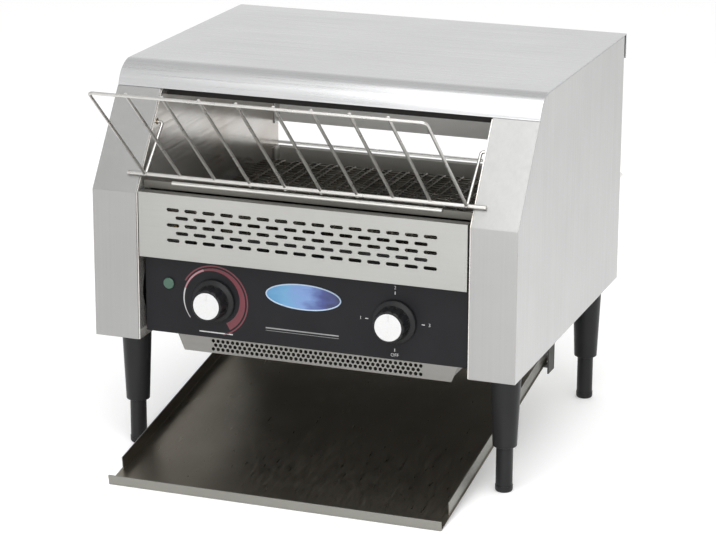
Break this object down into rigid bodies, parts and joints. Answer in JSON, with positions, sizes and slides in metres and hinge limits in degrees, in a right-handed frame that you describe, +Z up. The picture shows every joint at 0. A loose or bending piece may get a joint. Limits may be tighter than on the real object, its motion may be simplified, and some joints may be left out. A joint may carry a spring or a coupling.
{
  "type": "conveyor toaster",
  "caption": "Counter-top conveyor toaster with a wire feed rack, belt between heating tubes, rear chute, slide-out toast tray, crumb pan, two knobs and screw feet.",
  "frame": {"origin": "centre of the footprint of the whole box, on the counter under the feet", "axes": "+X to the right seen from the front, +Y from the front towards the rear, +Z up"},
  "size_m": [0.418, 0.4946, 0.3874],
  "materials": {
    "brushed_cover": "satin brushed stainless steel, light grain along the sheet",
    "roof_steel": "satin stainless steel, pale",
    "vent_steel": "satin stainless steel with punched slots",
    "base_steel": "mill-finish stainless steel",
    "polished_wall": "polished stainless steel, slightly dulled by heat",
    "pan_steel": "mill-finish stainless steel, perforated front",
    "heat_dark_steel": "heat-darkened steel",
    "panel_black": "satin black powder coat",
    "chromed_wire": "bright welded wire",
    "belt_wire": "heat-darkened stainless wire",
    "zinc_steel": "bright zinc-plated steel",
    "oiled_steel": "dark oiled steel",
    "tube_steel": "oxidised steel sheath",
    "white_ceramic": "cream ceramic",
    "bush_ceramic": "sintered bronze",
    "fan_black": "black glass-filled plastic",
    "gland_black": "black nylon",
    "control_black": "dark moulded plastic",
    "lens_green": "clear dark green plastic",
    "badge_blue": "plain blue enamelled plate",
    "leg_black": "satin black moulded plastic",
    "tray_dark": "dark polished tray, bright folded edges",
    "knob_black": "satin black plastic",
    "knob_silver": "spun aluminium disc"
  },
  "bodies": {
    "housing": {"left_side_cover": "brushed_cover", "right_side_cover": "brushed_cover", "base_plates": "base_steel", "left_inner_wall": "polished_wall", "right_inner_wall": "polished_wall", "top_cover": "roof_steel", "back_panel": "brushed_cover", "lower_back_panel": "brushed_cover", "upper_reflector": "heat_dark_steel", "vent_panel": "vent_steel", "control_panel": "panel_black", "control_box": "base_steel", "feed_lip": "polished_wall", "pan_rails": "base_steel", "toast_chute": "polished_wall", "tray_hangers": "base_steel", "rack_bushes": "bush_ceramic", "rear_guard": "chromed_wire", "conveyor_belt": "belt_wire", "belt_rails": "base_steel", "shaft_bearings": "bush_ceramic", "gear_motor": "zinc_steel", "motor_bracket": "zinc_steel", "drive_chain": "oiled_steel", "upper_heaters": "tube_steel", "lower_heaters": "tube_steel", "heater_holders": "white_ceramic", "fan_frame": "fan_black", "terminal_block": "white_ceramic", "cable_gland": "gland_black", "speed_regulator": "control_black", "selector_switch": "control_black", "indicator_lens": "lens_green", "indicator_lamp": "white_ceramic", "badge_plate": "badge_blue", "front_left_leg": "leg_black", "front_right_leg": "leg_black", "rear_left_leg": "leg_black", "rear_right_leg": "leg_black", "screws": "zinc_steel"},
    "feed_rack": {"feed_rack": "chromed_wire"},
    "toast_tray": {"toast_tray": "tray_dark"},
    "crumb_pan": {"crumb_pan": "pan_steel"},
    "drive_shaft": {"drive_shaft": "zinc_steel", "drive_sprockets": "oiled_steel", "shaft_sprocket": "oiled_steel"},
    "idler_shaft": {"idler_shaft": "zinc_steel", "idler_sprockets": "oiled_steel"},
    "motor_sprocket": {"motor_sprocket": "oiled_steel"},
    "fan_impeller": {"fan_impeller": "fan_black"},
    "speed_knob": {"speed_knob": "knob_black", "speed_knob_cap": "knob_silver", "speed_spindle": "zinc_steel"},
    "selector_knob": {"selector_knob": "knob_black", "selector_knob_cap": "knob_silver", "selector_spindle": "zinc_steel"},
    "front_left_foot": {"front_left_foot": "leg_black"},
    "front_right_foot": {"front_right_foot": "leg_black"},
    "rear_left_foot": {"rear_left_foot": "leg_black"},
    "rear_right_foot": {"rear_right_foot": "leg_black"}
  },
  "joints": [
    {"name": "rack_tilt", "type": "hinge", "parent": "housing", "child": "feed_rack", "pos_m": [0, -0.08808, 0.323], "axis": [-1, 0, 0], "range_deg": [0, 137]},
    {"name": "tray_slide", "type": "slide", "parent": "housing", "child": "toast_tray", "axis": [0, -1, 0], "range_m": [0, 0.3]},
    {"name": "pan_slide", "type": "slide", "parent": "housing", "child": "crumb_pan", "axis": [0, -1, 0], "range_m": [0, 0.2]},
    {"name": "drive_spin", "type": "hinge", "parent": "housing", "child": "drive_shaft", "pos_m": [0, 0.15325, 0.204], "axis": [1, 0, 0], "continuous": true},
    {"name": "idler_spin", "type": "hinge", "parent": "housing", "child": "idler_shaft", "pos_m": [0, -0.04675, 0.204], "axis": [1, 0, 0], "continuous": true},
    {"name": "motor_spin", "type": "hinge", "parent": "housing", "child": "motor_sprocket", "pos_m": [0.1755, 0.07825, 0.163], "axis": [1, 0, 0], "continuous": true},
    {"name": "fan_spin", "type": "hinge", "parent": "housing", "child": "fan_impeller", "pos_m": [-0.1767, -0.10055, 0.167], "axis": [1, 0, 0], "continuous": true},
    {"name": "speed_turn", "type": "hinge", "parent": "housing", "child": "speed_knob", "pos_m": [-0.09, -0.12775, 0.165], "axis": [0, 1, 0], "range_deg": [0, 300]},
    {"name": "selector_turn", "type": "hinge", "parent": "housing", "child": "selector_knob", "pos_m": [0.09, -0.12775, 0.165], "axis": [0, 1, 0], "range_deg": [0, 270]},
    {"name": "front_left_foot_screw", "type": "slide", "parent": "housing", "child": "front_left_foot", "axis": [0, 0, 1], "range_m": [-0.01, 0.015]},
    {"name": "front_right_foot_screw", "type": "slide", "parent": "housing", "child": "front_right_foot", "axis": [0, 0, 1], "range_m": [-0.01, 0.015]},
    {"name": "rear_left_foot_screw", "type": "slide", "parent": "housing", "child": "rear_left_foot", "axis": [0, 0, 1], "range_m": [-0.01, 0.015]},
    {"name": "rear_right_foot_screw", "type": "slide", "parent": "housing", "child": "rear_right_foot", "axis": [0, 0, 1], "range_m": [-0.01, 0.015]}
  ],
  "couplings": [
    {"joint": "idler_spin", "follows": "drive_spin", "ratio": 1},
    {"joint": "motor_spin", "follows": "drive_spin", "ratio": 1.5}
  ]
}
